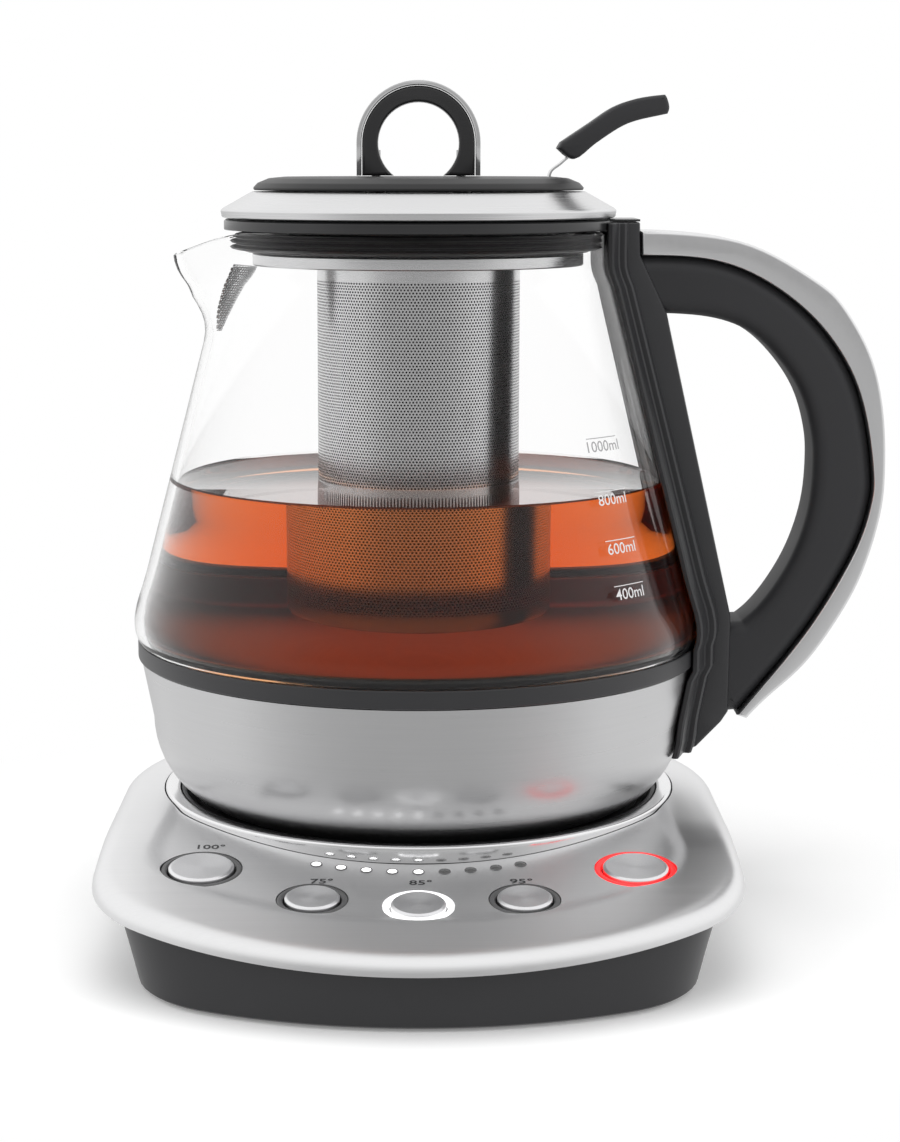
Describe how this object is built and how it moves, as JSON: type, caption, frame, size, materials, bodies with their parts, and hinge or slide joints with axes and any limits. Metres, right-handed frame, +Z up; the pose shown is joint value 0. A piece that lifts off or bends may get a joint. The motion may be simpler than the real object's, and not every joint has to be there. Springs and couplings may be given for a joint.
{
  "type": "electric_tea_kettle",
  "caption": "Electric tea kettle: a glass jug with a spout and an arched handle, a lid with a hanging infuser basket, and a powered base with a sloped panel of push buttons.",
  "frame": {"origin": "centre of the bounding box's underside, on the surface that the feet stand on", "axes": "+Z up, +X from the spout to the handle, -Y towards the user and the control panel"},
  "size_m": [0.2184, 0.217, 0.2347],
  "materials": {
    "brushed_steel": "brushed",
    "black_plastic": "satin",
    "soft_black_grip": "soft touch",
    "black_rubber": "matte",
    "clear_glass": "clear",
    "light_guide": "translucent",
    "spun_aluminium": "spun",
    "circuit_board": "lacquered",
    "zinc_plated_steel": "zinc plated"
  },
  "bodies": {
    "base": {"base_plate": "brushed_steel", "base_housing": "black_plastic", "base_bottom_cover": "black_plastic", "foot_1": "black_rubber", "foot_2": "black_rubber", "foot_3": "black_rubber", "foot_4": "black_rubber", "base_screw_1": "zinc_plated_steel", "base_screw_2": "zinc_plated_steel", "base_screw_3": "zinc_plated_steel", "dock_ring": "brushed_steel", "dock_pan": "black_plastic", "power_plug": "black_plastic", "light_ring_hot_water": "light_guide", "light_ring_low": "light_guide", "light_ring_middle": "light_guide", "light_ring_high": "light_guide", "light_ring_power": "light_guide", "switch_hot_water": "black_plastic", "switch_low": "black_plastic", "switch_middle": "black_plastic", "switch_high": "black_plastic", "switch_power": "black_plastic", "lamp_guide": "light_guide", "control_board": "circuit_board", "cord_gland": "black_rubber"},
    "jug": {"glass_jug": "clear_glass", "seat_band": "black_plastic", "glass_seal": "black_rubber", "bowl_shell": "brushed_steel", "heater_plate": "brushed_steel", "heating_element": "zinc_plated_steel", "thermal_sensor": "zinc_plated_steel", "jug_base_cover": "black_plastic", "cover_screw_1": "zinc_plated_steel", "cover_screw_2": "zinc_plated_steel", "jug_connector": "black_plastic", "handle_spine": "black_plastic", "handle_screw": "zinc_plated_steel", "handle_grip": "soft_black_grip", "handle_trim": "brushed_steel", "neck_collar": "black_plastic", "spout_filter": "brushed_steel"},
    "lid": {"lid_rim": "brushed_steel", "lid_body": "black_plastic", "lid_seal": "black_rubber", "lid_top_plate": "black_plastic", "knob_core": "black_plastic", "knob_band": "brushed_steel", "knob_screw_1": "zinc_plated_steel", "knob_screw_2": "zinc_plated_steel"},
    "thumb_lever": {"lever_strip": "brushed_steel", "lever_grip": "soft_black_grip"},
    "infuser": {"infuser_collar": "brushed_steel", "infuser_basket": "brushed_steel"},
    "button_body_hot_water": {"button_hot_water": "spun_aluminium"},
    "button_body_low": {"button_low": "spun_aluminium"},
    "button_body_middle": {"button_middle": "spun_aluminium"},
    "button_body_high": {"button_high": "spun_aluminium"},
    "button_body_power": {"button_power": "spun_aluminium"}
  },
  "joints": [
    {"name": "jug_lift", "type": "slide", "parent": "base", "child": "jug", "axis": [0, 0, 1], "range_m": [0, 0.15]},
    {"name": "lid_lift", "type": "slide", "parent": "jug", "child": "lid", "axis": [0, 0, 1], "range_m": [0, 0.125]},
    {"name": "infuser_twist", "type": "hinge", "parent": "lid", "child": "infuser", "pos_m": [-0.02319, 0.0225, 0.185], "axis": [0, 0, 1], "range_deg": [0, 30]},
    {"name": "thumb_lever_press", "type": "hinge", "parent": "lid", "child": "thumb_lever", "pos_m": [0.01341, 0.0225, 0.2063], "axis": [0, 1, 0], "range_deg": [0, 20], "stiffness_Nm_per_rad": 0.05, "springref_deg": -6.88},
    {"name": "press_hot_water", "type": "slide", "parent": "base", "child": "button_body_hot_water", "axis": [0, 0.1512, -0.9885], "range_m": [0, 0.001], "stiffness_N_per_m": 800, "springref_m": -0.0005},
    {"name": "press_low", "type": "slide", "parent": "base", "child": "button_body_low", "axis": [0, 0.1512, -0.9885], "range_m": [0, 0.001], "stiffness_N_per_m": 800, "springref_m": -0.0005},
    {"name": "press_middle", "type": "slide", "parent": "base", "child": "button_body_middle", "axis": [0, 0.1512, -0.9885], "range_m": [0, 0.001], "stiffness_N_per_m": 800, "springref_m": -0.0005},
    {"name": "press_high", "type": "slide", "parent": "base", "child": "button_body_high", "axis": [0, 0.1512, -0.9885], "range_m": [0, 0.001], "stiffness_N_per_m": 800, "springref_m": -0.0005},
    {"name": "press_power", "type": "slide", "parent": "base", "child": "button_body_power", "axis": [0, 0.1512, -0.9885], "range_m": [0, 0.001], "stiffness_N_per_m": 800, "springref_m": -0.0005}
  ]
}
